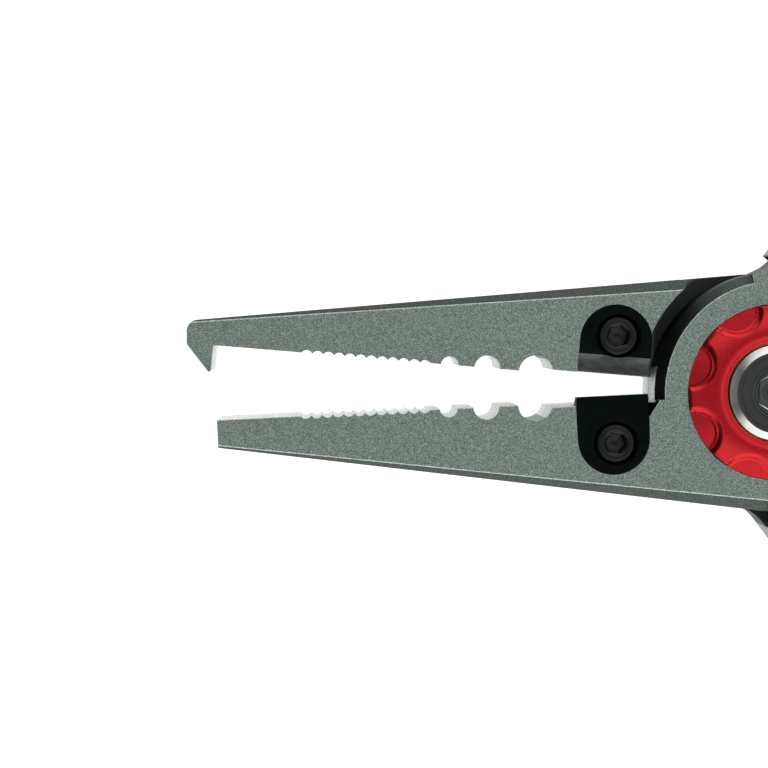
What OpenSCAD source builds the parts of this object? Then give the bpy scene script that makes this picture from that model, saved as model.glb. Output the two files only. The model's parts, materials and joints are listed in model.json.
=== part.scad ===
// Fishing pliers: two flat lapped levers with a hooked nose, line crimps, screwed-on side
// cutters, an enclosed opening spring and rubber grips.
// The pliers lie flat: the pivot axis is Z, the jaws point along -X and the grips along +X.
// The origin is on the pivot axis, on the outer face of the pivot nut.
// Each lever is drawn with the jaws shut along the X axis, then turned to the rest opening.

/* [Jaws] */
// Distance from the pivot axis to the far side of the hook
jaw_length = 80.4; // [74:0.2:90]
// Slope of the outer edges with the jaws shut
jaw_taper = 9.57; // [8:0.1:11]
// Total angle between the jaws at rest
rest_opening = 7.5; // [4:0.5:14]
// Gap left between the faces of the shut jaws
jaw_gap = 0.1; // [0.1:0.05:0.4]
// Number of small gripping grooves on each jaw
groove_count = 12; // [6:1:12]
// Distance between two grooves
groove_pitch = 1.46; // [1.4:0.02:1.5]
// Depth of one groove
groove_depth = 0.4; // [0.2:0.05:0.5]

/* [Levers] */
// Thickness of the two lapped levers together
lever_t = 11; // [9:0.5:14]
// Radius of the round boss of each lever
boss_r = 16.4; // [15.8:0.1:17]
// Radius of the hollow that each lever has for the other one's boss
hollow_r = 18.9; // [18:0.1:19.4]
// Gap between the lapped faces
lap_gap = 0.2; // [0.1:0.05:0.4]
// Width of the outer edge bevel beside the boss
bevel_wide = 1.6; // [1:0.1:2]
// Width of the outer edge bevel at the nose
bevel_narrow = 0.35; // [0.2:0.05:0.6]
// Width of the bevel around the free edge of a boss
boss_bevel = 1.25; // [0.8:0.05:1.6]

/* [Handles] */
// Distance from the pivot axis to the end of the handles
handle_length = 113; // [105:1:125]
// Thickness of the rubber over the handle
rubber_t = 1.2; // [0.8:0.1:2]
// Where the rubber grip starts along the handle
grip_start = 21; // [20:1:30]
// Radius of the lanyard hole
lanyard_r = 2; // [1.5:0.1:2.4]

/* [Cutters] */
// Width of a cutter plate
cutter_w = 9.8; // [8:0.1:10]
// Distance of a cutter plate's middle from the pivot axis
cutter_x = 22.4; // [22:0.1:24]
// Distance of a cutter plate's round end from the middle line
cutter_reach = 10.1; // [9.5:0.1:10.4]
// Thickness of a cutter plate
cutter_t = 4.2; // [3.5:0.1:4.8]
// Height of the front bevel on the upper cutter
cutter_bevel = 2.4; // [1.5:0.1:3]

/* [Pivot] */
// Outer radius of the scalloped rings
ring_r = 11.95; // [11:0.05:12.5]
// Inner radius of the scalloped rings
ring_bore_r = 6.75; // [6.7:0.05:7]
// Number of finger scallops on a ring
scallop_count = 8; // [5:1:9]
// Radius of one scallop
scallop_r = 3.1; // [2.5:0.1:3.4]
// Radius of the bolt head
head_r = 6.53; // [6:0.01:6.6]
// Radius of the bolt shank
shank_r = 4; // [3.5:0.1:4.2]
// Hexagon key size across the flats
key_size = 5; // [4:0.5:5]

/* [Hidden] */
$fn = 64;
e = 0.02;                      // small overrun that keeps cuts clean
proud = 1.2;                   // height of the nut and of the rubber over the lever faces
back_z = proud;                // back face of the levers
front_z = back_z + lever_t;    // front face of the levers
top_z = front_z + proud;       // highest face
mid_z = (back_z + front_z) / 2;
rear_lap_z = mid_z - lap_gap / 2;
front_lap_z = mid_z + lap_gap / 2;
half_angle = rest_opening / 2;
far = 200;                     // larger than the whole tool

// Jaw shape with the jaws shut, for the jaw on the +Y side
face_y = jaw_gap / 2;
relief_y = 0.55;               // the jaw face stands back beside the cutters
edge_normal = [-sin(jaw_taper), cos(jaw_taper)];
edge_along = [-cos(jaw_taper), -sin(jaw_taper)];
edge_start = boss_r * edge_normal;
nose_r = 1.6;                  // round upper corner of the nose
nose_x = -(jaw_length - nose_r - 0.05);
nose_y = (boss_r - nose_r - nose_x * edge_normal[0]) / edge_normal[1];
nose_top = [nose_x, nose_y] + nose_r * edge_normal;
hook_x = -76.6;                // inner side of the hook
hook_drop = 3.6;               // how far the hook point reaches below the middle line
blunt_x = -76.0;               // end of the jaw that the hook passes
groove_first_x = -64;          // outermost gripping groove
groove_r = 0.8;
crimps = [[44.65, 1.2], [39.54, 1.76], [32.9, 2.33]];   // [distance from the pivot, radius]
crimp_end_x = -crimps[2][0];
bevel_run_on = 3;              // the jaw's bevel goes on this far past its root
bevel_blend = 0.05;            // the jaw's bevel starts this much wider, to meet the boss's bevel
corner_r = 0.7;                // round corner where the jaw ends beside the other lever's boss

// Handle shape with the jaws shut: points on the outer and the inner edge, on the +Y side
tail_r = 4.7;
tail_x = handle_length - tail_r;
tail_y = 8.3;
outer_edge = [[-7, 14.5], [-2.4, 16.2], [0.5, 17.6], [3.2, 20.5], [6.5, 24], [11, 26], [16, 24.6],
    [23, 21.8], [36, 21], [56, 22.6], [80, 20.8], [98, 16.4], [tail_x, tail_y + tail_r], [tail_x + 8, 10]];
inner_edge = [[6, -1], [14, 2], [19.5, 3.4], [27, 6.2], [40, 8.6], [58, 9.8], [80, 8.8],
    [98, 5.6], [tail_x, tail_y - tail_r], [tail_x + 8, 2]];
curve_steps = 6;
grip_end = 99;

// Cutter plates
cutter_edge_y = [0.75, 0.65];  // cutting edges of the upper and of the lower plate, jaws shut
cutter_floor = front_z - cutter_t;
cutter_land = 0.8;             // flat left behind the front bevel
cutter_screw = [-22.1, 5.87];
screw_r = 1.5;
screw_head_r = 2.75;
screw_head_h = 2.6;
counterbore_gap = 0.2;         // room around the screw head
screw_sunk = 0.35;             // depth of the screw head below the plate's face
screw_end_z = 4;
screw_key = 2.5;
pocket_gap = 0.03;

// Pivot stack
ring_t = 1.6;
ring_sunk = 0.6;               // depth of the ring's seat
scallop_out = 0.5;             // centre of a pocket, this far outside the ring
scallop_depth = 0.7;
scallop_phase = 0.54;          // turn of the first pocket, as a share of the pocket spacing
head_bevel = 0.95;             // polished bevel of the bolt head: its width, then its height
head_bevel_h = 0.5;
key_turn = 30;                 // a flat of the key socket faces the jaws
key_depth = 3.2;
head_under_z = 11.25;
washer_top_z = head_under_z - 0.05;
washer_t = 0.8;
bush_r = 5.2;
bush_bore_r = shank_r + 0.03;
nut_t = 2.2;
nut_barrel_z = 4.9;
thread_r = 2.5;
thrust_r = 7.9;
thrust_t = 0.65;
thrust_floor_z = rear_lap_z - 0.5;
stop_ring_r = 13;              // radius of the stop pin's circle
stop_r = 1.25;
stop_play = 0.1;
stop_angle = -150;             // place of the stop pin, jaws shut, on the rear lever
max_opening = 32.5;            // full swing of the levers, from shut to wide open
stop_end_z = [3.6, 9.6];

// Opening spring
wire_r = 0.6;
coil_r = 9.25;
coil_gap = 0.55;               // room around the wire in its groove
coil_depth = 2.2;
coil_z = [5.3, 8.1];           // wire centre at the first and at the last turn
coil_turns = 2.25;
coil_leg = 1.9;
coil_from = 20;                // angle of the lower leg

anodised = [0.44, 0.49, 0.46];
black_steel = [0.05, 0.07, 0.06];
bare_steel = [0.7, 0.71, 0.7];
red_anodised = [0.8, 0.05, 0.08];
bronze = [0.7, 0.5, 0.25];
rubber = [0.06, 0.06, 0.07];

// ---- Helpers ----

// Point at the fraction t between b and c on the smooth curve through a, b, c and d
function smooth(a, b, c, d, t) =
    0.5 * (2 * b + (c - a) * t + (2 * a - 5 * b + 4 * c - d) * t * t + (3 * b - 3 * c + d - a) * t * t * t);

// Smooth curve from the second to the last but one of the given points
function curve(p) = concat(
    [for (i = [1 : len(p) - 3], k = [0 : curve_steps - 1])
        smooth(p[i - 1], p[i], p[i + 1], p[i + 2], k / curve_steps)],
    [p[len(p) - 2]]);

// The same curve moved sideways, to its left for a positive distance
function moved(c, d) = [for (i = [0 : len(c) - 1])
    let (ahead = c[min(i + 1, len(c) - 1)] - c[max(i - 1, 0)])
    c[i] + d * [-ahead[1], ahead[0]] / norm(ahead)];

function reversed(c) = [for (i = [len(c) - 1 : -1 : 0]) c[i]];

// Turn from the shut position to the rest position: the rear lever's and the front lever's
module rear_at_rest() {
    rotate([0, 0, -half_angle]) children();
}

module front_at_rest() {
    rotate([0, 0, half_angle]) children();
}

// Turn a lever over, so that its jaw lies on -Y and its lapped half is at the front
module turned_over() {
    translate([0, 0, 2 * mid_z]) rotate([180, 0, 0]) children();
}

// Removes the space beyond the plane through three points, on the side of a x b
module beyond_plane(p, a, b) {
    normal = cross(a, b) / norm(cross(a, b));
    translate(p)
        rotate(acos(normal[2]), cross([0, 0, 1], normal))
            translate([-far, -far, 0]) cube([2 * far, 2 * far, far]);
}

// Bevel around a round rim at the top, between two angles
module rim_bevel(r, z, w, from, to) {
    translate([0, 0, z])
        rotate([0, 0, from])
            rotate_extrude(angle = to - from)
                polygon([[r - w, e], [r - w, 0], [r, -w], [r + e, -w], [r + e, e]]);
}

// ---- Levers ----

module hook_outline() {
    translate([nose_x, nose_y]) circle(r = nose_r);
    polygon([
        [hook_x, nose_y], [hook_x, 0], [hook_x - 0.05, 0.2 - hook_drop], [hook_x - 0.4, -hook_drop],
        [hook_x - 0.7, 0.33 - hook_drop], [0.2 - jaw_length, -0.1], [0.05 - jaw_length, nose_y],
        [nose_x, nose_y]
    ]);
}

module jaw_outline(hooked) {
    end_x = hooked ? hook_x : blunt_x;
    end_point = edge_start + (edge_start[0] - end_x) / cos(jaw_taper) * edge_along;
    difference() {
        polygon(concat(
            [[0, 0], [0, relief_y], [crimp_end_x, relief_y], [crimp_end_x, face_y], [end_x, face_y]],
            hooked ? [[end_x, nose_y], [nose_x, nose_y], nose_top] : [end_point],
            [edge_start]));
        for (i = [0 : groove_count - 1])
            translate([groove_first_x + i * groove_pitch, face_y - groove_r + groove_depth])
                circle(r = groove_r);
        for (c = crimps)
            translate([-c[0], 0]) circle(r = c[1]);
    }
    if (hooked) hook_outline();
}

module handle_outline(grow = 0) {
    polygon(concat(moved(curve(outer_edge), grow), reversed(moved(curve(inner_edge), -grow))));
}

module lever_outline(hooked) {
    circle(r = boss_r);
    jaw_outline(hooked);
    mirror([0, 1]) handle_outline();
    translate([tail_x, -tail_y]) circle(r = tail_r);
}

// The jaw's corner beside the other lever's boss: cut off square, then made round
module corner_outline(hooked) {
    reach = sqrt(pow(hollow_r + corner_r, 2) - pow(boss_r - corner_r, 2));
    middle = (boss_r - corner_r) * edge_normal + reach * edge_along;
    difference() {
        lever_outline(hooked);
        circle(r = hollow_r);
        polygon([
            middle, middle + (corner_r + e) * edge_normal,
            edge_start, [0, boss_r], middle * (hollow_r - e) / norm(middle)
        ]);
    }
    translate(middle) circle(r = corner_r);
}

// Bevel along the outer edge of the jaw, wider towards the boss, on the face at height z
module jaw_bevel(z, up) {
    long = 60;
    start_w = bevel_wide + bevel_blend;
    nose_run = 6;  // the bevel keeps its narrow width over this last length
    narrowing = (start_w - bevel_narrow) / (jaw_length - nose_run);
    wide = edge_start - start_w * edge_normal;
    slim = edge_start + long * edge_along - (start_w - long * narrowing) * edge_normal;
    drop = [edge_start[0], edge_start[1], z - up * start_w] - [wide[0], wide[1], z];
    run = [slim[0] - wide[0], slim[1] - wide[1], 0];
    beyond_plane([wide[0], wide[1], z], up > 0 ? drop : run, up > 0 ? run : drop);
}

// A lever blank with its jaw on +Y, its handle on -Y and its lapped half at the back
module lever_blank(hooked) {
    difference() {
        union() {
            translate([0, 0, back_z]) linear_extrude(rear_lap_z - back_z) lever_outline(hooked);
            translate([0, 0, rear_lap_z - e]) linear_extrude(front_z - rear_lap_z + e)
                corner_outline(hooked);
        }
        intersection() {
            union() {
                jaw_bevel(front_z, 1);
                jaw_bevel(back_z, -1);
            }
            translate([-far, 0, 0]) cube([far + edge_start[0] + bevel_run_on, far, far]);
        }
        // free edges of the boss on the outer face
        translate([0, 0, back_z]) mirror([0, 0, 1]) {
            rim_bevel(boss_r, 0, bevel_wide, -2, 88 + jaw_taper);
            rim_bevel(boss_r, 0, boss_bevel, 179, 261);
        }
        translate([tail_x, -tail_y, 0]) cylinder(h = top_z, r = lanyard_r);
        // seat of the scalloped ring
        translate([0, 0, back_z - e]) cylinder(h = ring_sunk + e, r = ring_r + 0.05);
        // groove of the spring
        translate([0, 0, rear_lap_z - coil_depth]) difference() {
            cylinder(h = coil_depth + e, r = coil_r + wire_r + coil_gap);
            cylinder(h = coil_depth + e, r = coil_r - wire_r - coil_gap);
        }
    }
}

// Plan shape of a cutter plate on +Y
module cutter_outline(edge_y, grow = 0) {
    end_r = cutter_w / 2;
    intersection() {
        union() {
            translate([-cutter_x, cutter_reach - end_r]) circle(r = end_r + grow);
            translate([-cutter_x - end_r - grow, -cutter_w])
                square([cutter_w + 2 * grow, cutter_w + cutter_reach - end_r]);
        }
        translate([-cutter_x - cutter_w, edge_y]) square(2 * cutter_w);
    }
}

// Pocket and screw hole of a cutter on +Y
module cutter_pocket() {
    translate([0, 0, cutter_floor]) linear_extrude(cutter_t + e) cutter_outline(-1, pocket_gap);
    translate([cutter_screw[0], cutter_screw[1], screw_end_z - 0.5])
        cylinder(h = cutter_floor, r = screw_r);
}

// Slanted bevel where the front jaw's cutter pocket meets the boss
module crotch_bevel() {
    low = [-17.1, -2.1, front_z];
    high = [-15.43, 0.27, front_z];
    run = high - low;
    intersection() {
        beyond_plane(low, run, [-run[1], run[0], -norm(run)]);
        translate([-18.6, low[1] - 0.2, mid_z]) cube([4, high[1] - low[1] + 0.2, lever_t]);
    }
}

// Hole for one leg of the spring
module spring_leg_hole(angle, z) {
    rotate([0, 0, angle]) translate([coil_r, 0, z]) cylinder(h = coil_leg + 1, r = wire_r + 0.1);
}

module rear_lever() {
    color(anodised) rear_at_rest() difference() {
        lever_blank(true);
        cutter_pocket();
        cylinder(h = front_z, r = shank_r + e);
        // nut flange, thrust washer, spring leg and stop pin
        translate([0, 0, back_z]) cylinder(h = nut_t - back_z, r = head_r + 0.1);
        translate([0, 0, thrust_floor_z]) cylinder(h = 1, r = thrust_r + 0.05);
        rotate([0, 0, half_angle]) spring_leg_hole(coil_from, coil_z[0] - coil_leg - 1);
        rotate([0, 0, stop_angle]) translate([stop_ring_r, 0, stop_end_z[0]])
            cylinder(h = rear_lap_z, r = stop_r);
    }
}

module front_lever() {
    slot_half_w = stop_r + stop_play;
    slot_end = asin(slot_half_w / stop_ring_r);
    color(anodised) front_at_rest() difference() {
        turned_over() lever_blank(false);
        mirror([0, 1]) cutter_pocket();
        cylinder(h = top_z, r = bush_r);
        // head washer and bolt head
        translate([0, 0, washer_top_z - washer_t]) cylinder(h = top_z, r = ring_bore_r);
        rotate([0, 0, -half_angle]) spring_leg_hole(coil_from + coil_turns * 360, coil_z[1]);
        crotch_bevel();
        // curved slot of the stop pin
        translate([0, 0, front_lap_z - e]) rotate([0, 0, stop_angle - max_opening - slot_end])
            rotate_extrude(angle = max_opening + 2 * slot_end)
                translate([stop_ring_r - slot_half_w, 0])
                    square([2 * slot_half_w, stop_end_z[1] + 0.3 - front_lap_z]);
    }
}

// ---- Cutters ----

module cutter_screw_hole() {
    translate([cutter_screw[0], cutter_screw[1], 0]) {
        cylinder(h = front_z, r = screw_r + 0.1);
        translate([0, 0, front_z - screw_sunk - screw_head_h])
            cylinder(h = cutter_t, r = screw_head_r + counterbore_gap);
    }
}

module upper_cutter() {
    edge = cutter_edge_y[0];
    color(black_steel) rear_at_rest() difference() {
        translate([0, 0, cutter_floor]) linear_extrude(cutter_t) cutter_outline(edge);
        cutter_screw_hole();
        beyond_plane([0, edge + cutter_bevel, front_z],
            [0, -cutter_bevel, cutter_land - cutter_t], [1, 0, 0]);
    }
}

module lower_cutter() {
    edge = -cutter_edge_y[1];
    land = 1.2;  // flat behind the cutting edge, on the shown face
    color(black_steel) front_at_rest() mirror([0, 1]) difference() {
        translate([0, 0, cutter_floor]) linear_extrude(cutter_t) cutter_outline(edge);
        cutter_screw_hole();
        beyond_plane([0, edge, front_z - land], [0, cutter_bevel, land - cutter_t], [1, 0, 0]);
    }
}

module cutter_screw_solid() {
    head_z = front_z - screw_sunk;
    translate([cutter_screw[0], cutter_screw[1], 0]) difference() {
        union() {
            translate([0, 0, screw_end_z]) cylinder(h = head_z - screw_end_z - 1, r = screw_r);
            translate([0, 0, head_z - screw_head_h]) cylinder(h = screw_head_h - 0.3, r = screw_head_r);
            translate([0, 0, head_z - 0.3])
                cylinder(h = 0.3, r1 = screw_head_r, r2 = screw_head_r - 0.3);
        }
        translate([0, 0, head_z - 1.4]) cylinder(h = 2, r = screw_key / sqrt(3), $fn = 6);
    }
}

module upper_cutter_screw() {
    color(black_steel) rear_at_rest() cutter_screw_solid();
}

module lower_cutter_screw() {
    color(black_steel) front_at_rest() mirror([0, 1]) cutter_screw_solid();
}

// ---- Pivot ----

module pivot_bolt() {
    color(bare_steel) difference() {
        union() {
            translate([0, 0, nut_barrel_z + 0.1])
                cylinder(h = head_under_z - nut_barrel_z, r = shank_r);
            translate([0, 0, nut_t - 0.9]) cylinder(h = nut_barrel_z, r = thread_r);
            translate([0, 0, head_under_z])
                cylinder(h = top_z - head_under_z - head_bevel_h, r = head_r);
            translate([0, 0, top_z - head_bevel_h])
                cylinder(h = head_bevel_h, r1 = head_r, r2 = head_r - head_bevel);
        }
        translate([0, 0, top_z - key_depth]) rotate([0, 0, key_turn])
            cylinder(h = key_depth + e, r = key_size / sqrt(3), $fn = 6);
    }
}

module pivot_nut() {
    spanner_r = 4.3;
    color(bare_steel) difference() {
        union() {
            cylinder(h = 0.4, r1 = head_r - 0.4, r2 = head_r);
            translate([0, 0, 0.4]) cylinder(h = nut_t - 0.4, r = head_r);
            cylinder(h = nut_barrel_z, r = shank_r);
        }
        translate([0, 0, nut_t - 1.1]) cylinder(h = nut_barrel_z, r = thread_r + 0.05);
        // holes for a pin spanner
        for (side = [-1, 1])
            translate([0, side * spanner_r, -e]) cylinder(h = 1, r = 0.7);
    }
}

// Ring with scallops, lying on z = 0 with its shown face up
module scalloped_ring() {
    color(red_anodised) difference() {
        cylinder(h = ring_t, r = ring_r);
        translate([0, 0, -e]) cylinder(h = ring_t + 1, r = ring_bore_r);
        translate([0, 0, ring_t]) {
            rim_bevel(ring_r, 0, 0.25, 0, 360);
            for (i = [0 : scallop_count - 1])
                rotate([0, 0, (i + scallop_phase) * 360 / scallop_count])
                    translate([ring_r + scallop_out, 0, -scallop_depth])
                        cylinder(h = 1, r = scallop_r);
        }
    }
}

module front_pivot_ring() {
    front_at_rest() translate([0, 0, front_z - ring_sunk]) scalloped_ring();
}

module rear_pivot_ring() {
    rear_at_rest() translate([0, 0, back_z + ring_sunk]) rotate([180, 0, 0]) scalloped_ring();
}

module pivot_bushing() {
    color(bronze) translate([0, 0, front_lap_z]) difference() {
        cylinder(h = washer_top_z - washer_t - front_lap_z, r = bush_r);
        translate([0, 0, -e]) cylinder(h = lever_t, r = bush_bore_r);
    }
}

module head_washer() {
    color(bronze) translate([0, 0, washer_top_z - washer_t]) difference() {
        cylinder(h = washer_t, r = ring_bore_r - 0.05);
        translate([0, 0, -e]) cylinder(h = washer_t + 1, r = bush_bore_r);
    }
}

module thrust_washer() {
    color(bronze) translate([0, 0, thrust_floor_z]) difference() {
        cylinder(h = thrust_t, r = thrust_r);
        translate([0, 0, -e]) cylinder(h = thrust_t + 1, r = shank_r + 0.05);
    }
}

module stop_pin() {
    color(bare_steel) rear_at_rest() rotate([0, 0, stop_angle])
        translate([stop_ring_r, 0, stop_end_z[0]])
            cylinder(h = stop_end_z[1] - stop_end_z[0], r = stop_r);
}

// ---- Opening spring ----

coil_ring_sides = 8;
coil_rings_per_turn = 20;
coil_rings = coil_turns * coil_rings_per_turn;

// Centre of the wire at step i: [angle, height, slope of the wire]; the ends bend into legs
function wire_at(i) = i < 0 ? [coil_from, coil_z[0] - coil_leg, 90]
    : i > coil_rings ? [coil_from + coil_turns * 360, coil_z[1] + coil_leg, 90]
    : let (f = i / coil_rings)
      [coil_from + f * coil_turns * 360, coil_z[0] + f * (coil_z[1] - coil_z[0]),
       i == 0 || i == coil_rings ? 45 : 2];

// One ring of points around the wire
function wire_ring(i) = let (w = wire_at(i),
    out = [cos(w[0]), sin(w[0]), 0],
    along = [-sin(w[0]) * cos(w[2]), cos(w[0]) * cos(w[2]), sin(w[2])],
    side = cross(along, out))
    [for (k = [0 : coil_ring_sides - 1])
        let (a = k * 360 / coil_ring_sides)
        coil_r * out + [0, 0, w[1]] + wire_r * (cos(a) * out + sin(a) * side)];

module torsion_spring() {
    n = coil_ring_sides;
    count = coil_rings + 3;
    points = [for (i = [-1 : coil_rings + 1]) each wire_ring(i)];
    sides = [for (i = [0 : count - 2], k = [0 : n - 1])
        [i * n + k, i * n + (k + 1) % n, (i + 1) * n + (k + 1) % n, (i + 1) * n + k]];
    caps = [[for (k = [n - 1 : -1 : 0]) k], [for (k = [0 : n - 1]) (count - 1) * n + k]];
    color(bare_steel) polyhedron(points, concat(sides, caps));
}

// ---- Grips ----

// Rubber sleeve over the handle on +Y
module grip_solid() {
    difference() {
        intersection() {
            linear_extrude(top_z) handle_outline(rubber_t);
            translate([grip_start, -far / 2, 0]) cube([grip_end - grip_start, far, top_z]);
        }
        translate([0, 0, back_z]) linear_extrude(lever_t) handle_outline();
    }
}

module rear_grip() {
    color(rubber) rear_at_rest() mirror([0, 1]) grip_solid();
}

module front_grip() {
    color(rubber) front_at_rest() grip_solid();
}

rear_lever();
front_lever();
pivot_bolt();
pivot_nut();
front_pivot_ring();
rear_pivot_ring();
pivot_bushing();
head_washer();
thrust_washer();
torsion_spring();
stop_pin();
upper_cutter();
lower_cutter();
upper_cutter_screw();
lower_cutter_screw();
rear_grip();
front_grip();
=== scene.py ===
"""Looks of the fishing pliers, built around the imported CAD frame. Lengths are in metres."""
import json
import math

import bmesh
import bpy
from mathutils import Matrix, Vector

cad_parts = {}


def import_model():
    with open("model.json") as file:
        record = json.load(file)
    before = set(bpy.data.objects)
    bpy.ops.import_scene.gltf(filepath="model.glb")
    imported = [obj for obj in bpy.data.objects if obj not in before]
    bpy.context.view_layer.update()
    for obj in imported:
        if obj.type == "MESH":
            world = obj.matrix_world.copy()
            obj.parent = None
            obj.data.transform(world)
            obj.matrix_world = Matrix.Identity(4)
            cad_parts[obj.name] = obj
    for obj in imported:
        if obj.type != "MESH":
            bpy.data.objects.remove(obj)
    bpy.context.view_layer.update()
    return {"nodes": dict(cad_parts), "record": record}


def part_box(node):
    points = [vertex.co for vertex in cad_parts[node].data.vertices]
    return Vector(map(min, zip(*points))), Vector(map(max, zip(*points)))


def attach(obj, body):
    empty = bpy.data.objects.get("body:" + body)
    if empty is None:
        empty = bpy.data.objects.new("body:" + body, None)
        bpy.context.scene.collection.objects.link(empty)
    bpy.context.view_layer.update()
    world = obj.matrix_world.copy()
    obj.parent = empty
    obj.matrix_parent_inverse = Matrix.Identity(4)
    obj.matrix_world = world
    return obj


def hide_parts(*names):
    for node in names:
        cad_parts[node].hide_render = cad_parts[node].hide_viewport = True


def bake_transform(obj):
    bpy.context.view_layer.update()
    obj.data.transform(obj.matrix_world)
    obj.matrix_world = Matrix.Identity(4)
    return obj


MM = 0.001
FULL_TURN = 2 * math.pi

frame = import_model()

REAR_BODY = "rear_side"
FRONT_BODY = "front_side"

# Heights of the levers' outer faces and centres of the lanyard holes, taken from the frame
BACK_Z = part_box("rear_lever")[0].z
FRONT_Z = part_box("rear_lever")[1].z
LANYARD = {side: Vector(frame["record"]["mounts"][i]["pos_m"][:2])
           for side, i in (("front", 1), ("rear", 2))}

# Radii round the pivot axis
BOSS_R = 16.4 * MM
GROOVE_R = 18.9 * MM
RING_BORE_R = 6.75 * MM

# Slots of a lever's materials: plain, the lighter edge line, painted light on the mouth walls, painted
# shade on the chamfers and in the groove
PLAIN, EDGE_HIGHLIGHT_AND_WEAR, MOUTH_PAINTED_LIGHT, CHAMFER_SHADED, GROOVE_SHADED = range(5)


# ---- Materials ----

class Material:
    """A node material with short ways to add and join nodes."""

    def __init__(self, name):
        self.material = bpy.data.materials.new(name)
        self.material.use_nodes = True
        self.nodes = self.material.node_tree.nodes
        self.links = self.material.node_tree.links
        self.shader = self.nodes["Principled BSDF"]

    def add(self, kind, **settings):
        """Adds a node with the given settings."""
        node = self.nodes.new(kind)
        for key, value in settings.items():
            setattr(node, key, value)
        return node

    def join(self, source, target):
        self.links.new(source, target)

    def position(self):
        """The point being shaded, in the object's own frame."""
        return self.add("ShaderNodeTexCoord").outputs["Object"]

    def noise(self, size, detail=2.0, roughness=0.5):
        """Noise whose features are about size metres across."""
        node = self.add("ShaderNodeTexNoise")
        node.inputs["Scale"].default_value = 1 / size
        node.inputs["Detail"].default_value = detail
        node.inputs["Roughness"].default_value = roughness
        self.join(self.position(), node.inputs["Vector"])
        return node.outputs["Fac"]

    def turning_marks(self, size, detail, roughness=0.5):
        """Noise that varies only with the distance from the pivot axis, as a lathe leaves it."""
        node = self.add("ShaderNodeTexNoise", noise_dimensions="1D")
        node.inputs["Scale"].default_value = 1 / size
        node.inputs["Detail"].default_value = detail
        node.inputs["Roughness"].default_value = roughness
        self.join(self.radius(), node.inputs["W"])
        return node.outputs["Fac"]

    def ramp(self, source, stops):
        """Colour ramp. Each stop is (position, (r, g, b))."""
        node = self.add("ShaderNodeValToRGB")
        elements = node.color_ramp.elements
        while len(elements) < len(stops):
            elements.new(0.5)
        for element, (place, colour) in zip(elements, stops):
            element.position = place
            element.color = (*colour, 1)
        self.join(source, node.inputs["Fac"])
        return node.outputs["Color"]

    def level(self, source, low, high, start=0.0, end=1.0):
        """Maps start..end of a value to low..high."""
        node = self.add("ShaderNodeMapRange")
        for key, value in (("From Min", start), ("From Max", end), ("To Min", low), ("To Max", high)):
            node.inputs[key].default_value = value
        self.join(source, node.inputs["Value"])
        return node.outputs["Result"]

    def mix(self, amount, first, second, blend="MIX"):
        """Mixes two colours, each a socket or (r, g, b)."""
        node = self.add("ShaderNodeMix", data_type="RGBA", blend_type=blend)
        for title, value in (("Factor", amount), ("A", first), ("B", second)):
            self.feed(node.inputs[title], value)
        return node.outputs["Result"]

    def math(self, operation, first, second=0.0):
        """Joins two values by an operation."""
        node = self.add("ShaderNodeMath", operation=operation)
        self.feed(node.inputs[0], first)
        self.feed(node.inputs[1], second)
        return node.outputs[0]

    def feed(self, socket, value):
        """Joins a socket to a socket, or sets it to a number or colour."""
        if isinstance(value, bpy.types.NodeSocket):
            self.join(value, socket)
        elif isinstance(value, tuple) and len(value) == 3:
            socket.default_value = (*value, 1)
        else:
            socket.default_value = value

    def radius(self):
        """Distance from the pivot axis."""
        parts = self.add("ShaderNodeSeparateXYZ")
        self.join(self.position(), parts.inputs[0])
        across = self.math("MULTIPLY", parts.outputs[0], parts.outputs[0])
        up = self.math("MULTIPLY", parts.outputs[1], parts.outputs[1])
        return self.math("SQRT", self.math("ADD", across, up))

    def bump(self, source, depth, strength=1.0):
        """Adds a bump of depth metres on top of the bumps so far."""
        node = self.add("ShaderNodeBump")
        node.inputs["Strength"].default_value = strength
        node.inputs["Distance"].default_value = depth
        self.join(source, node.inputs["Height"])
        normal = self.shader.inputs["Normal"]
        if normal.is_linked:
            self.join(normal.links[0].from_socket, node.inputs["Normal"])
        self.join(node.outputs["Normal"], normal)

    def set(self, **values):
        """Sets the shader's inputs by name, in lower case with underscores."""
        for key, value in values.items():
            title = key.replace("_", " ").title().replace("Ior", "IOR")
            self.feed(self.shader.inputs[title], value)


def scaled(colour, share):
    """A colour made darker or lighter."""
    return tuple(share * c for c in colour)


def blasted_aluminium(name, tone, chamfer=False):
    """Bead-blasted and anodised aluminium: fine grey-green grain with small bright glints."""
    m = Material(name)
    grain = m.noise(0.15 * MM, detail=3, roughness=0.8)
    green = m.noise(0.5 * MM, detail=2)
    cloud = m.noise(6 * MM, detail=3)
    base = m.ramp(grain, [(0.36, scaled(tone, 0.34)), (0.5, tone), (0.63, scaled(tone, 2.1))])
    tint = m.ramp(green, [(0.35, (0.93, 1.0, 0.93)), (0.65, (1.04, 1.0, 1.02))])
    base = m.mix(1.0, base, tint, "MULTIPLY")
    base = m.mix(m.level(cloud, 0.0, 0.25), base, scaled(tone, 0.8))
    # Painted shade in the groove beside the front boss.
    base = m.mix(groove_shade(m), base, scaled(tone, 0.12))
    # Painted shade on the chamfers, darkest towards the jaws' nose.
    if chamfer:
        base = m.mix(1.0, base, chamfer_shade(m), "MULTIPLY")
    m.set(base_color=base, metallic=0.75, roughness=m.level(grain, 0.42, 0.62))
    m.bump(grain, 0.03 * MM, 0.45)
    return m.material


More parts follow.
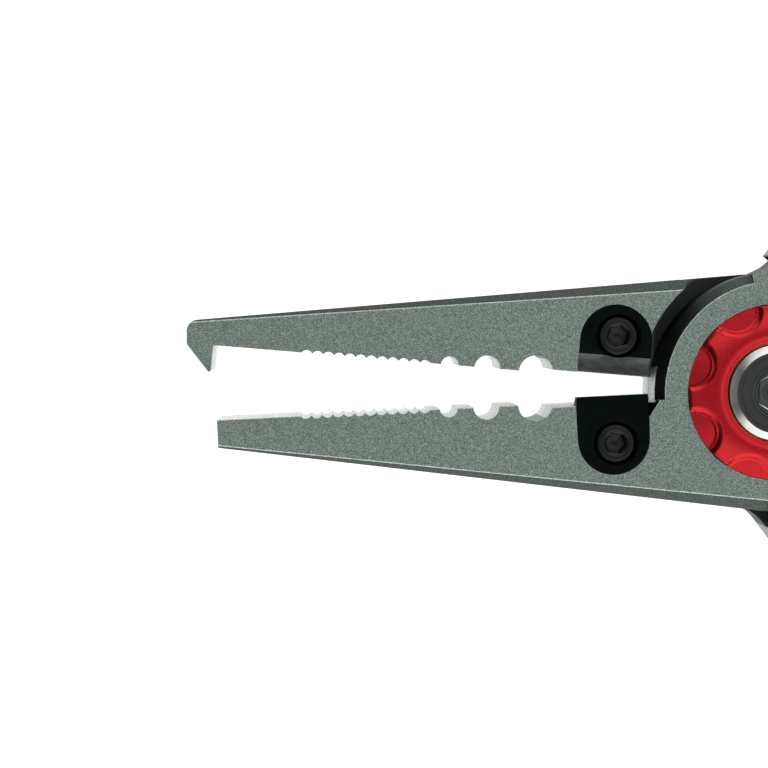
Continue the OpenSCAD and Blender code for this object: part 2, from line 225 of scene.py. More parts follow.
def groove_shade(m):
    """Painted-in shade in the groove between the front boss and the jaw: full near the middle of the
    thickness, fading towards the outer faces, outwards and into the mouth."""
    place = m.add("ShaderNodeSeparateXYZ")
    m.join(m.position(), place.inputs[0])
    x, _, z = place.outputs
    below = m.level(z, 1.0, 0.0, FRONT_Z - 3.5 * MM, FRONT_Z - 1.5 * MM)
    above = m.level(z, 0.0, 1.0, BACK_Z + 3.5 * MM, BACK_Z + 4.5 * MM)
    beside = m.level(m.radius(), 1.0, 0.0, GROOVE_R - 0.7 * MM, GROOVE_R + 0.7 * MM)
    mouth = m.level(x, 0.0, 1.0, -BOSS_R - 0.2 * MM, -BOSS_R + 0.8 * MM)
    return m.math("MULTIPLY", m.math("MULTIPLY", below, above), m.math("MULTIPLY", beside, mouth))


def chamfer_shade(m):
    """Painted-in shade of the chamfers, by the way they face: darkest towards the jaws' nose."""
    facing = m.add("ShaderNodeSeparateXYZ")
    m.join(m.add("ShaderNodeTexCoord").outputs["Normal"], facing.inputs[0])
    x, y, _ = facing.outputs
    end = m.level(x, 0.12, 1.0, -0.62, -0.25)
    side = m.level(y, 0.8, 0.68, -0.5, 0.5)
    return m.mix(m.math("MULTIPLY", end, side), (0.0, 0.0, 0.0), (1.0, 1.0, 1.0))


def red_anodised():
    """Satin red anodised aluminium with faint turning marks around the pivot axis."""
    m = Material("red_anodised")
    marks = m.turning_marks(0.2 * MM, detail=3)
    grain = m.noise(0.15 * MM, detail=2)
    base = m.ramp(grain, [(0.3, (0.46, 0.005, 0.01)), (0.7, (0.72, 0.013, 0.022))])
    m.set(base_color=base, metallic=0.95, roughness=m.level(grain, 0.2, 0.3))
    m.set(coat_weight=0.35, coat_roughness=0.14)
    m.bump(marks, 0.01 * MM, 0.3)
    m.bump(grain, 0.01 * MM, 0.4)
    return m.material


def turned_steel():
    """Steel faced on a lathe: rings of grooves of uneven depth around the pivot axis."""
    m = Material("turned_steel")
    grooves = m.turning_marks(0.22 * MM, detail=4, roughness=0.7)
    stain = m.noise(1.4 * MM, detail=3)
    base = m.ramp(grooves, [(0.3, (0.03, 0.036, 0.033)), (0.7, (0.12, 0.13, 0.122))])
    base = m.mix(m.level(stain, 0.0, 0.35), base, (0.04, 0.048, 0.044))
    m.set(base_color=base, metallic=1.0, roughness=m.level(stain, 0.16, 0.28), anisotropic=0.6)
    m.bump(grooves, 0.03 * MM, 0.5)
    tangent = m.add("ShaderNodeTangent", direction_type="RADIAL", axis="Z")
    m.join(tangent.outputs[0], m.shader.inputs["Tangent"])
    return m.material


def polished_steel():
    """Polished steel with faint hairlines and smears."""
    m = Material("polished_steel")
    smear = m.noise(1.2 * MM, detail=3)
    hair = m.noise(0.1 * MM, detail=2)
    base = m.ramp(smear, [(0.3, (0.62, 0.62, 0.59)), (0.7, (0.78, 0.77, 0.74))])
    m.set(base_color=base, metallic=1.0, roughness=m.level(smear, 0.1, 0.2))
    m.bump(hair, 0.004 * MM, 0.3)
    return m.material


def black_oxide(name, shade, roughness, gloss):
    """Blackened steel: near black with a faint cloudy sheen."""
    m = Material(name)
    cloud = m.noise(1.2 * MM, detail=4, roughness=0.65)
    grain = m.noise(0.12 * MM, detail=2)
    base = m.ramp(cloud, [(0.3, scaled(shade, 0.7)), (0.7, scaled(shade, 1.4))])
    m.set(base_color=base, roughness=m.level(cloud, roughness - 0.06, roughness + 0.08),
          specular_ior_level=gloss)
    m.bump(grain, 0.012 * MM, 0.35)
    return m.material


def moulded_rubber():
    """Black moulded rubber with a fine spark-eroded texture and a little dust in it."""
    m = Material("grip_rubber")
    texture = m.noise(0.3 * MM, detail=3, roughness=0.6)
    dust = m.noise(4 * MM, detail=4, roughness=0.6)
    base = m.ramp(dust, [(0.35, (0.012, 0.012, 0.013)), (0.75, (0.028, 0.028, 0.029))])
    m.set(base_color=base, roughness=m.level(dust, 0.55, 0.75))
    m.bump(texture, 0.06 * MM, 0.5)
    return m.material


def bronze():
    """Turned bronze of the washers and the bushing."""
    m = Material("bronze")
    cloud = m.noise(1.5 * MM, detail=3)
    base = m.ramp(cloud, [(0.3, (0.32, 0.18, 0.07)), (0.7, (0.5, 0.31, 0.13))])
    m.set(base_color=base, metallic=1.0, roughness=m.level(cloud, 0.3, 0.45))
    m.bump(m.noise(0.1 * MM), 0.01 * MM, 0.3)
    return m.material


ANODISED = blasted_aluminium("anodised", (0.235, 0.285, 0.26))
# Lighter tone for the narrow edge bevels: partly worn edges, partly a painted highlight.
ANODISED_EDGE_HIGHLIGHT_AND_WEAR = blasted_aluminium("anodised_edge_highlight_and_wear", (0.52, 0.57, 0.54))
# Much lighter tone for the mouth walls: painted light, as if lit by the pale floor.
ANODISED_MOUTH_PAINTED_LIGHT = blasted_aluminium("anodised_mouth_painted_light", (0.74, 0.76, 0.75))
# Darker tone painted on the chamfers as shade.
ANODISED_CHAMFER_SHADED = blasted_aluminium("anodised_chamfer_shaded", (0.085, 0.105, 0.095), chamfer=True)
# Near-black tone painted on the groove walls beside the boss as shade.
ANODISED_GROOVE_SHADED = blasted_aluminium("anodised_groove_shaded", (0.016, 0.022, 0.02))
RED = red_anodised()
TURNED = turned_steel()
POLISHED = polished_steel()
BLACK = black_oxide("black_steel", (0.0014, 0.0044, 0.0034), 0.4, 0.04)
BLACK_GROUND = black_oxide("black_steel_ground", (0.085, 0.094, 0.09), 0.35, 0.5)
BLACK_SCREW = black_oxide("black_screw", (0.003, 0.005, 0.004), 0.22, 0.3)
RUBBER = moulded_rubber()
BRONZE = bronze()


# ---- Mesh helpers ----

def new_object(name, mesh, body, materials):
    """Adds a piece that rides on a body and has the given materials."""
    piece = bpy.data.objects.new(name, mesh)
    bpy.context.scene.collection.objects.link(piece)
    for material in materials:
        mesh.materials.append(material)
    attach(piece, body)
    return piece


def smooth_by_angle(mesh, degrees=30):
    """Smooth shading with folds above the angle kept sharp."""
    mesh.shade_smooth()
    mesh.set_sharp_from_angle(angle=math.radians(degrees))


def cad_bmesh(node):
    """The CAD node's mesh, welded, with its flat faces made whole."""
    bm = bmesh.new()
    bm.from_mesh(frame["nodes"][node].data)
    bmesh.ops.remove_doubles(bm, verts=bm.verts, dist=1e-7)
    bmesh.ops.dissolve_limit(bm, angle_limit=math.radians(0.3), verts=bm.verts, edges=bm.edges)
    bm.normal_update()
    return bm


def fold(edge):
    """Angle between the two faces of an edge, in degrees."""
    if len(edge.link_faces) != 2:
        return 0.0
    return math.degrees(edge.calc_face_angle(0.0))


def bevel_edges(bm, edges, width, material=-1):
    """Flat bevel along the edges; material -1 takes that of the faces beside it."""
    bmesh.ops.bevel(bm, geom=edges, offset=width, offset_type="OFFSET", segments=1,
                    profile=0.5, affect="EDGES", clamp_overlap=False, material=material,
                    loop_slide=True)
    bm.normal_update()


def even_normals(piece):
    """Keeps large flat faces flat where they meet a narrow bevel."""
    weighted = piece.modifiers.new("even_normals", "WEIGHTED_NORMAL")
    weighted.keep_sharp = True
    weighted.weight = 100


def finish_bmesh(bm, name, degrees=30):
    """Turns a bmesh into a smoothly shaded mesh."""
    mesh = bpy.data.meshes.new(name)
    bm.normal_update()
    bm.to_mesh(mesh)
    bm.free()
    smooth_by_angle(mesh, degrees)
    return mesh


# ---- Levers ----

def sharp_face_edges(bm):
    """The sharp edges that border a lever's outer faces."""
    def at_face(edge):
        heights = [v.co.z for v in edge.verts]
        return any(all(abs(h - z) < 0.01 * MM for h in heights) for z in (FRONT_Z, BACK_Z))

    return [e for e in bm.edges if fold(e) > 25 and e.is_convex and at_face(e)]


def on_handle(edge, hole):
    """True on the outline of the handle: outside the boss and not round the lanyard hole."""
    walls = [f for f in edge.link_faces if abs(f.normal.z) < 0.02]
    clear = all(v.co.x > 1.5 * MM and v.co.xy.length > BOSS_R + 0.2 * MM for v in edge.verts)
    round_hole = all((v.co.xy - hole).length < 3 * MM for v in edge.verts)
    return clear and bool(walls) and not round_hole


def lever_piece(node, body, side):
    """The CAD lever with its sharp edges broken; the edges of the outer faces get a narrow bevel in a
    lighter tone, partly worn edges and partly a painted highlight.
    """
    handle_chamfer = 0.3 * MM
    light_line = 0.08 * MM
    shortest_line = 0.9 * MM
    bm = cad_bmesh(node)
    outline = [e for e in sharp_face_edges(bm) if on_handle(e, LANYARD[side])]
    bevel_edges(bm, outline, handle_chamfer)
    long_edges = [e for e in sharp_face_edges(bm) if e.calc_length() > shortest_line]
    bevel_edges(bm, long_edges, light_line, EDGE_HIGHLIGHT_AND_WEAR)
    for face in bm.faces:
        if face.material_index == PLAIN:
            face.material_index = lever_material_slot(face)
    mesh = finish_bmesh(bm, node + "_mesh")
    lever_materials = [ANODISED, ANODISED_EDGE_HIGHLIGHT_AND_WEAR, ANODISED_MOUTH_PAINTED_LIGHT, ANODISED_CHAMFER_SHADED, ANODISED_GROOVE_SHADED]
    piece = new_object(node + "_body", mesh, body, lever_materials)
    even_normals(piece)
    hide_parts(node)


def lever_material_slot(face):
    """Slot of the material that a lever's face takes: painted light on the mouth walls, painted shade
    on the chamfers and in the groove beside the boss, else plain.
    """
    middle = face.calc_center_median()
    slope = abs(face.normal.z)
    if slope > 0.95:
        return PLAIN
    mouth_half_width = 1.9 * MM + 0.068 * abs(middle.x)
    # The mouth walls take the tone painted as light.
    if slope < 0.3 and middle.x < -15 * MM and abs(middle.y) < mouth_half_width:
        return MOUTH_PAINTED_LIGHT
    if slope > 0.3:
        return CHAMFER_SHADED
    beside_boss = BOSS_R - 0.9 * MM < middle.xy.length < GROOVE_R + 0.6 * MM
    if beside_boss and middle.x < 6 * MM:
        return GROOVE_SHADED
    return PLAIN


# ---- Cutters ----

def cutter_piece(node, body, screw_node):
    """The CAD cutter plate with a ground finish on its bevel and a flared mouth on its counterbore."""
    counterbore_r = 2.95 * MM
    flare = 0.3 * MM
    steps = 5
    ground = 1
    bm = cad_bmesh(node)
    low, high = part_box(screw_node)
    axis = ((low + high) / 2).xy
    for face in bm.faces:
        if 0.3 < abs(face.normal.z) < 0.9 and face.calc_area() > 4 * MM * MM:
            face.material_index = ground
    mesh = finish_bmesh(bm, node + "_mesh", 32)
    piece = new_object(node + "_plate", mesh, body, [BLACK, BLACK_GROUND])
    profile = [(None, FRONT_Z - flare), (counterbore_r, FRONT_Z - flare)]
    for step in range(1, steps + 1):
        a = math.pi / 2 * step / steps
        profile.append((counterbore_r + flare * (1 - math.cos(a)), FRONT_Z - flare * (1 - math.sin(a))))
    profile += [(counterbore_r + flare, FRONT_Z + flare), (None, FRONT_Z + flare)]
    cut_away(piece, finish_bmesh(turned_mesh(profile, 96, axis), "flare"))
    even_normals(piece)
    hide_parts(node)


# ---- Turned pieces ----

def turned_mesh(profile, segments=96, centre=(0, 0), turn=0.0, closed=False):
    """Mesh of rings round a vertical axis. A profile entry is (radius, height), where both may be
    functions of the angle, or (None, height) for a point on the axis. A third value is the material
    slot of the band that ends there. A closed profile joins its last ring to its first."""
    bm = bmesh.new()
    rings = []
    marks = []
    for radius, height, *slot in profile:
        marks.append(slot[0] if slot else 0)
        if radius is None:
            rings.append([bm.verts.new((centre[0], centre[1], height))])
            continue
        ring = []
        for i in range(segments):
            angle = FULL_TURN * i / segments
            r = radius(angle) if callable(radius) else radius
            z = height(angle) if callable(height) else height
            ring.append(bm.verts.new((centre[0] + r * math.cos(angle + turn),
                                      centre[1] + r * math.sin(angle + turn), z)))
        rings.append(ring)
    pairs = list(zip(rings, rings[1:]))
    if closed:
        pairs.append((rings[-1], rings[0]))
        marks.append(marks[0])
    for (lower, upper), mark in zip(pairs, marks[1:]):
        for i in range(segments):
            j = (i + 1) % segments
            if len(lower) == 1:
                corners = (lower[0], upper[j], upper[i])
            elif len(upper) == 1:
                corners = (lower[i], lower[j], upper[0])
            else:
                corners = (lower[i], lower[j], upper[j], upper[i])
            face = bm.faces.new(corners)
            face.material_index = mark
    bmesh.ops.recalc_face_normals(bm, faces=bm.faces)
    return bm


def hexagon(across_flats):
    """Outline of a hexagon: its radius as a function of the angle."""
    def radius(angle):
        folded = (angle % (math.pi / 3)) - math.pi / 6
        return across_flats / 2 / math.cos(folded)

    return radius


def wider(shape, extra):
    """A larger copy of an outline."""
    return lambda angle: shape(angle) + extra


def screw_piece(node, body, turn):
    """Low socket head screw with a domed rim and a countersunk key socket."""
    low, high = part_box(node)
    middle = (low + high) / 2
    top = high.z
    head_r = (high.x - low.x) / 2
    thread_r = 1.5 * MM
    key = hexagon(2.5 * MM)
    under = top - 2.6 * MM
    round_r = 0.55 * MM
    steps = 5
    profile = [
        # thread and underside of the head
        (None, low.z),
        (thread_r - 0.3 * MM, low.z),
        (thread_r, low.z + 0.3 * MM),
        (thread_r, under),
        (head_r - 0.1 * MM, under),
        (head_r, under + 0.1 * MM),
        (head_r, top - round_r),
    ]
    for step in range(1, steps + 1):
        a = math.pi / 2 * step / steps
        profile.append((head_r - round_r * (1 - math.cos(a)), top - round_r * (1 - math.sin(a))))
    profile += [
        # countersink and key socket
        (1.72 * MM, top),
        (1.64 * MM, top - 0.03 * MM),
        (wider(key, 0.06 * MM), top - 0.22 * MM),
        (key, top - 0.3 * MM),
        (key, top - 1.35 * MM),
        (wider(key, -0.15 * MM), top - 1.4 * MM),
        (None, top - 1.75 * MM),
    ]
    turned = turned_mesh(profile, 96, middle.xy, turn)
    mesh = finish_bmesh(turned, node + "_mesh", 40)
    piece = new_object(node + "_turned", mesh, body, [BLACK_SCREW])
    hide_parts(node)


def bolt_piece():
    """Pivot bolt: lathe-faced head with a polished bevel and a 5 mm key socket."""
    low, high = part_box("pivot_bolt")
    top = high.z
    head_r = (high.x - low.x) / 2
    under = top - 2.15 * MM
    thread_r = 2.5 * MM
    thread_end = 5 * MM
    shank_r = 4 * MM
    bevel = 0.95 * MM
    rise = 0.5 * MM
    key = hexagon(5 * MM)
    key_floor = top - 3.2 * MM
    polished = 1
    profile = [
        # threaded end and shank
        (None, low.z),
        (thread_r - 0.3 * MM, low.z),
        (thread_r, low.z + 0.3 * MM),
        (thread_r, thread_end),
        (shank_r - 0.2 * MM, thread_end),
        (shank_r, thread_end + 0.2 * MM),
        (shank_r, under),
        # head and its polished bevel
        (head_r - 0.1 * MM, under),
        (head_r, under + 0.1 * MM),
        (head_r, top - rise - 0.06 * MM, polished),
        (head_r - 0.05 * MM, top - rise + 0.02 * MM, polished),
        (head_r - bevel + 0.03 * MM, top - 0.05 * MM, polished),
        (head_r - bevel - 0.05 * MM, top, polished),
        (3.6 * MM, top),
        # key socket
        (wider(key, 0.16 * MM), top),
        (wider(key, 0.02 * MM), top - 0.12 * MM, polished),
        (key, top - 0.2 * MM, polished),
        (key, key_floor + 0.1 * MM),
        (wider(key, -0.3 * MM), key_floor),
        (None, key_floor),
    ]
    mesh = finish_bmesh(turned_mesh(profile, 144, turn=math.radians(30)), "pivot_bolt_mesh")
    piece = new_object("pivot_bolt_turned", mesh, REAR_BODY, [TURNED, POLISHED])
    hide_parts("pivot_bolt")


def nut_piece():
    """Flanged sleeve nut with a polished rim and two holes for a pin spanner."""
    low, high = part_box("pivot_nut")
    flange_r = (high.x - low.x) / 2
    flange_top = low.z + 2.2 * MM
    barrel_r = 4 * MM
    bore_r = 2.5 * MM
    bore_end = low.z + 1.1 * MM
    hole_r = 0.7 * MM
    hole_at = 4.3 * MM
    hole_flare = 0.25 * MM
    polished = 1
    profile = [
        # blind bore, a little wider at its mouth
        (None, bore_end),
        (bore_r, bore_end),
        (bore_r + 0.05 * MM, high.z - 0.3 * MM),
        # barrel
        (bore_r + 0.3 * MM, high.z),
        (barrel_r - 0.2 * MM, high.z),
        (barrel_r, high.z - 0.2 * MM),
        (barrel_r, flange_top),
        # flange with its polished rim
        (flange_r - 0.1 * MM, flange_top),
        (flange_r, flange_top - 0.1 * MM),
        (flange_r, low.z + 0.45 * MM, polished),
        (flange_r - 0.04 * MM, low.z + 0.35 * MM, polished),
        (flange_r - 0.35 * MM, low.z + 0.04 * MM, polished),
        (flange_r - 0.45 * MM, low.z, polished),
        (5.2 * MM, low.z),
        (3.4 * MM, low.z),
        (None, low.z),
    ]
    body = finish_bmesh(turned_mesh(profile, 144), "pivot_nut_mesh")
    piece = new_object("pivot_nut_turned", body, REAR_BODY, [TURNED, POLISHED])
    drill = [
        (None, low.z - MM),
        (hole_r + hole_flare, low.z - MM),
        (hole_r + hole_flare, low.z),
        (hole_r, low.z + hole_flare),
        (hole_r, low.z + 0.9 * MM),
        (None, low.z + 1.05 * MM),
    ]
    for side in (-1, 1):
        tool = turned_mesh(drill, 32, (0, side * hole_at))
        cut_away(piece, finish_bmesh(tool, "drill"))
    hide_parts("pivot_nut")


def cut_away(piece, tool_mesh):
    """Removes the tool's shape from a piece for good and shades the result."""
    tool = bpy.data.objects.new("tool", tool_mesh)
    bpy.context.scene.collection.objects.link(tool)
    cut = piece.modifiers.new("cut", "BOOLEAN")
    cut.object = tool
    cut.operation = "DIFFERENCE"
    cut.solver = "EXACT"
    graph = bpy.context.evaluated_depsgraph_get()
    result = bpy.data.meshes.new_from_object(piece.evaluated_get(graph))
    piece.modifiers.clear()
    piece.data = result
    bpy.data.objects.remove(tool)
    smooth_by_angle(piece.data)


def share_of(value, start, end):
    """How far the value is from start to end, kept to 0..1."""
    return min(1.0, max(0.0, (value - start) / (end - start)))


def ring_drop(radius, outer):
    """How far the top of a ring lies below its highest circle."""
    lip_r = 8.3 * MM
    step_r = 7.25 * MM
    dome_r = 7.9 * MM
    rim = 0.35 * MM
    fall = 0.22 * MM * share_of(radius, lip_r, lip_r - 1.5 * MM) ** 2
    if radius < step_r:
        fall += 0.12 * MM
    fall += 0.5 * MM * share_of(radius, dome_r, outer) ** 2
    fall += rim * (1 - math.sqrt(1 - share_of(radius, outer - rim, outer) ** 2))
    return fall


def pocket_drop(radius, angle, outer, fall):
    """The drop with the pockets: a steep wall, a narrow crest at its foot and a sloping floor."""
    pockets = 8
    pocket_r = 3.65 * MM
    pocket_at = outer + 0.5 * MM
    wall = 0.6 * MM
    crest = 0.13 * MM
    folded = (angle + math.pi / pockets) % (FULL_TURN / pockets) - math.pi / pockets
    away = math.hypot(radius * math.cos(folded) - pocket_at, radius * math.sin(folded))
    into = (pocket_r - away) / wall
    if into <= 0:
        return fall
    deep = min(into, 1.0)
    floor = 0.36 * MM + 0.3 * max(0.0, radius - 9.4 * MM)
    rise = crest * max(0.0, 1 - abs(into - 1.15) / 0.3)
    return fall * (1 - deep) + (max(floor, fall) - rise) * deep


def ring_piece(node, body, turn, upward):
    """Scalloped ring: domed and turned, with milled half-round pockets that slope outwards."""
    low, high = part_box(node)
    outer = (high.x - low.x) / 2
    inner = RING_BORE_R
    thick = high.z - low.z
    thinnest = 0.3 * MM
    edge_gap = 0.02 * MM
    steps = 60

    def height(radius):
        def at(angle):
            fall = pocket_drop(radius, angle, outer, ring_drop(radius, outer))
            return thick - min(fall, thick - thinnest)

        return at

    span = outer - inner - 2 * edge_gap
    radii = [inner + edge_gap + span * i / steps for i in range(steps + 1)]
    profile = [(inner, 0.0), (inner, 0.5 * thick)]
    profile += [(r, height(r)) for r in radii]
    profile += [(outer, 0.2 * thick), (outer - 0.1 * MM, 0.0)]
    bm = turned_mesh(profile, 384, turn=turn, closed=True)
    if upward:
        bmesh.ops.translate(bm, verts=bm.verts, vec=(0, 0, low.z))
    else:
        bmesh.ops.rotate(bm, verts=bm.verts, matrix=Matrix.Rotation(math.pi, 3, "X"))
        bmesh.ops.translate(bm, verts=bm.verts, vec=(0, 0, high.z))
    mesh = finish_bmesh(bm, node + "_mesh", 40)
    piece = new_object(node + "_scalloped", mesh, body, [RED])
    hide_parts(node)


# ---- Spring ----

def spring_piece():
    """Coiled torsion spring of round wire, between the two levers."""
    low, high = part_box("torsion_spring")
    wire_r = 0.6 * MM
    coil_turns = 2.25
    coil_r = (high.x - low.x) / 2 - wire_r
    leg = 1.9 * MM
    leg_steps = 4
    coil_steps = 160
    first_z = low.z + leg
    last_z = high.z - leg
    start = math.radians(20)
    end = start + coil_turns * FULL_TURN

    def on_coil(angle, z):
        return Vector((coil_r * math.cos(angle), coil_r * math.sin(angle), z))

    path = [on_coil(start, low.z + k * leg / leg_steps) for k in range(leg_steps)]
    for i in range(coil_steps + 1):
        share = i / coil_steps
        path.append(on_coil(start + (end - start) * share, first_z + (last_z - first_z) * share))
    path += [on_coil(end, last_z + k * leg / leg_steps) for k in range(1, leg_steps + 1)]
    mesh = finish_bmesh(tube(path, wire_r, 16), "torsion_spring_mesh", 60)
    piece = bpy.data.objects.new("torsion_spring_wire", mesh)
    bpy.context.scene.collection.objects.link(piece)
    mesh.materials.append(POLISHED)
    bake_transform(piece)
    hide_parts("torsion_spring")


def join_rings(bm, rings):
    """Skin of four-sided faces from each ring to the next."""
    for first, second in zip(rings, rings[1:]):
        for k in range(len(first)):
            j = (k + 1) % len(first)
            bm.faces.new((first[k], first[j], second[j], second[k]))


def tube(path, radius, sides):
    """Round wire along a path, closed at both ends."""
    bm = bmesh.new()
    rings = []
    angles = [FULL_TURN * k / sides for k in range(sides)]
    across = Vector((path[0].x, path[0].y, 0)).normalized()
    for i, point in enumerate(path):
        ahead = path[min(i + 1, len(path) - 1)] - path[max(i - 1, 0)]
        along = ahead.normalized()
        across = (across - along * across.dot(along)).normalized()
        side = along.cross(across)
        rings.append([bm.verts.new(point + radius * (math.cos(a) * across + math.sin(a) * side))
                      for a in angles])
    join_rings(bm, rings)
    bm.faces.new(rings[0])
    bm.faces.new(rings[-1])
    bmesh.ops.recalc_face_normals(bm, faces=bm.faces)
    return bm


# ---- Grips ----

def outline_from(node):
    """Outer and inner edge of a grip as lists of (x, y), read from the foot of its CAD solid."""
    low = [v.co for v in frame["nodes"][node].data.vertices if abs(v.co.z) < 0.01 * MM]
    foot = sorted({(round(p.x, 6), round(p.y, 6)) for p in low})
    outer = [p for p in foot if p[1] > middle_line(foot, p[0])]
    inner = [p for p in foot if p[1] <= middle_line(foot, p[0])]
    return outer, inner


def middle_line(points, x):
    """The y halfway between the outer and the inner points near x."""
    near = sorted(points, key=lambda p: abs(p[0] - x))[:6]
    heights = [p[1] for p in near]
    return (min(heights) + max(heights)) / 2


def between(points, x):
    """The y at x of the line through the points."""
    for (x0, y0), (x1, y1) in zip(points, points[1:]):
        if x <= x1:
            return y0 + (y1 - y0) * (x - x0) / (x1 - x0) if x1 > x0 else y0
    return points[-1][1]


def grip_piece(node, body):
    """Moulded rubber sleeve with rounded corners and cross grooves between two plain collars."""
    wall = 1.2 * MM
    outer_corner = 3.2 * MM
    inner_corner = 0.4 * MM
    least_corner = 0.3 * MM
    end_tucks = (0.45 * MM, 0.2 * MM, 0.06 * MM, 0.0)
    count = 230
    around = 72
    middle_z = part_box(node)[1].z / 2
    upper, lower = outline_from(node)
    start = max(upper[0][0], lower[0][0])
    end = min(upper[-1][0], lower[-1][0])
    bm = bmesh.new()

    def ring(x, inset, corner):
        """Section across the sleeve, smaller than its outline by the inset."""
        y_top = between(upper, x)
        y_low = between(lower, x)
        points = []
        for k in range(around):
            y, z = rounded_box(FULL_TURN * k / around, (y_top - y_low) / 2 - inset,
                               middle_z - inset, corner)
            points.append(bm.verts.new((x, (y_top + y_low) / 2 + y, middle_z + z)))
        return points

    outside = []
    inside = []
    for i in range(count + 1):
        x = start + (end - start) * i / count
        tuck = end_tucks[min(i, count - i, len(end_tucks) - 1)]
        inset = grip_groove(x - start, end - start) + tuck
        outside.append(ring(x, inset, max(outer_corner - inset, least_corner)))
        inside.append(ring(x, wall, inner_corner))
    join_rings(bm, outside)
    join_rings(bm, inside)
    for end_index in (0, -1):
        join_rings(bm, [outside[end_index], inside[end_index]])
    bmesh.ops.recalc_face_normals(bm, faces=bm.faces)
    mesh = finish_bmesh(bm, node + "_mesh", 50)
    piece = new_object(node + "_sleeve", mesh, body, [RUBBER])
    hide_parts(node)


def grip_groove(along, length):
    """Depth of the cross grooves at a distance along the sleeve; the collars at its ends have none."""
    depth = 0.55 * MM
    spacing = 4.2 * MM
    land = 0.45
    if not 0.08 < along / length < 0.92:
        return 0.0
    wave = math.cos(FULL_TURN * along / spacing)
    return depth * max(0.0, wave - land) / (1 - land)


def rounded_box(angle, half_y, half_z, corner):
    """Point (y, z) at an angle on a rectangle with round corners."""
    ray = Vector((math.cos(angle), math.sin(angle)))
    scale = 1 / max(abs(ray.x) / half_y, abs(ray.y) / half_z)
    y = ray.x * scale
    z = ray.y * scale
    flat_y = half_y - corner
    flat_z = half_z - corner
    if abs(y) > flat_y and abs(z) > flat_z:
        # meet the round corner along the same ray
        centre = Vector((math.copysign(flat_y, y), math.copysign(flat_z, z)))
        nearest = ray.dot(centre)
        reach = nearest + math.sqrt(max(0.0, nearest ** 2 - centre.length_squared + corner ** 2))
        y = ray.x * reach
        z = ray.y * reach
    return y, z


# ---- Assembly ----

def carry_over(node, material):
    """Keeps the CAD piece and gives it its material."""
    materials = frame["nodes"][node].data.materials
    materials.clear()
    materials.append(material)


lever_piece("rear_lever", REAR_BODY, "rear")
lever_piece("front_lever", FRONT_BODY, "front")
cutter_piece("upper_cutter", REAR_BODY, "upper_cutter_screw")
cutter_piece("lower_cutter", FRONT_BODY, "lower_cutter_screw")
screw_piece("upper_cutter_screw", REAR_BODY, math.radians(12))
screw_piece("lower_cutter_screw", FRONT_BODY, math.radians(-8))
bolt_piece()
nut_piece()
ring_piece("front_pivot_ring", FRONT_BODY, math.radians(28), True)
ring_piece("rear_pivot_ring", REAR_BODY, math.radians(28), False)
grip_piece("rear_grip", REAR_BODY)
grip_piece("front_grip", FRONT_BODY)
spring_piece()
for node in ("pivot_bushing", "head_washer", "thrust_washer"):
    carry_over(node, BRONZE)
carry_over("stop_pin", POLISHED)


# ---- Studio ----

def pale_floor():
    """Plain surface that the pliers lie on; it glows, so that it reads white."""
    size = 4.0
    gap = 0.05 * MM
    m = Material("floor")
    m.set(base_color=(0.86, 0.86, 0.86), roughness=0.9)
    m.set(emission_color=(1.0, 1.0, 1.0), emission_strength=0.85)
    mesh = bpy.data.meshes.new("floor")
    corners = [(-size, -size, 0), (size, -size, 0), (size, size, 0), (-size, size, 0)]
    mesh.from_pydata(corners, [], [(0, 1, 2, 3)])
    mesh.materials.append(m.material)
    floor = bpy.data.objects.new("floor", mesh)
    floor.location.z = -gap
    bpy.context.scene.collection.objects.link(floor)


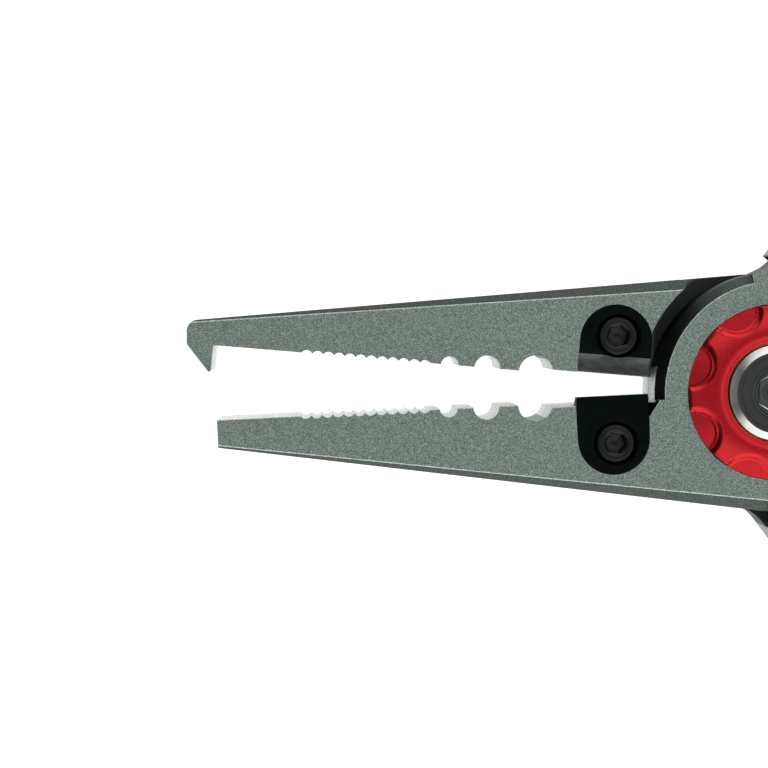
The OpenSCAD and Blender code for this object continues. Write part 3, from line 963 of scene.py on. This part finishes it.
def world():
    """Soft studio light: bright overhead but for a dark patch that the bolt and ring reflect, with two
    pale walls along the tool's sides. It falls off towards the nose of the jaws and towards +Y."""
    studio = bpy.data.worlds.new("studio")
    studio.use_nodes = True
    nodes, links = studio.node_tree.nodes, studio.node_tree.links
    background = nodes["Background"]
    background.inputs["Color"].default_value = (1, 1, 1, 1)
    place = nodes.new("ShaderNodeTexCoord")
    parts = nodes.new("ShaderNodeSeparateXYZ")
    links.new(place.outputs["Generated"], parts.inputs[0])

    def level(source, start, end, low, high):
        """Smooth change from low to high as the source goes from start to end."""
        node = nodes.new("ShaderNodeMapRange")
        node.interpolation_type = "SMOOTHSTEP"
        for key, value in (("From Min", start), ("From Max", end), ("To Min", low), ("To Max", high)):
            node.inputs[key].default_value = value
        links.new(source, node.inputs["Value"])
        return node.outputs["Result"]

    def combine(operation, first, second):
        """Joins two values, each a socket or a number."""
        node = nodes.new("ShaderNodeMath")
        node.operation = operation
        for socket, value in zip(node.inputs, (first, second)):
            if isinstance(value, float):
                socket.default_value = value
            else:
                links.new(value, socket)
        return node.outputs[0]

    x, y, z = parts.outputs
    patch_y = combine("MULTIPLY", level(y, -0.26, -0.12, 0.0, 1.0), level(y, 0.2, 0.06, 0.0, 1.0))
    patch_x = combine("MULTIPLY", level(x, -0.5, 0.0, 0.0, 1.0), level(x, 0.5, 0.36, 0.0, 1.0))
    patch = combine("MULTIPLY", patch_y, combine("MULTIPLY", patch_x, 0.85))
    falloff = combine("MULTIPLY", level(x, -0.4, -0.05, 0.3, 1.0), level(y, 0.42, 0.3, 0.45, 1.0))
    overhead = combine("MULTIPLY", level(z, 0.55, 0.97, 0.1, 1.15), combine("SUBTRACT", 1.0, patch))
    overhead = combine("MULTIPLY", overhead, falloff)
    wall_height = combine("MULTIPLY", level(z, 0.8, 0.6, 0.0, 1.0), level(x, -0.75, -0.35, 0.0, 1.0))
    plus_y_wall = combine("MULTIPLY", level(y, 0.35, 0.7, 0.0, 1.1), wall_height)
    minus_y_wall = combine("MULTIPLY", level(y, -0.35, -0.7, 0.0, 1.2), wall_height)
    fill = level(x, -0.6, 0.5, 0.03, 0.16)
    total = combine("ADD", combine("ADD", overhead, fill), combine("ADD", plus_y_wall, minus_y_wall))
    links.new(total, background.inputs["Strength"])
    bpy.context.scene.world = studio


def camera():
    """Looks down on the front faces of the jaws, a little off square and slightly rolled."""
    roll = math.radians(1.07)
    above = Vector((-62.2, 9.0, FRONT_Z / MM + 228.1)) * MM
    aim = Vector((-53.4, 0.25, FRONT_Z / MM)) * MM
    back = (above - aim).normalized()
    across = Vector((0, 1, 0)).cross(back).normalized()
    up = back.cross(across)
    turn = Matrix.Rotation(roll, 3, back)
    across = turn @ across
    up = turn @ up
    data = bpy.data.cameras.new("camera")
    data.lens = 79.35
    data.sensor_width = 36
    data.clip_start = 0.01
    data.clip_end = 20
    eye = bpy.data.objects.new("camera", data)
    axes = Matrix((across, up, back)).transposed()
    eye.matrix_world = Matrix.Translation(above) @ axes.to_4x4()
    bpy.context.scene.collection.objects.link(eye)
    bpy.context.scene.camera = eye


pale_floor()
world()
camera()
bpy.context.scene.view_settings.view_transform = "Standard"
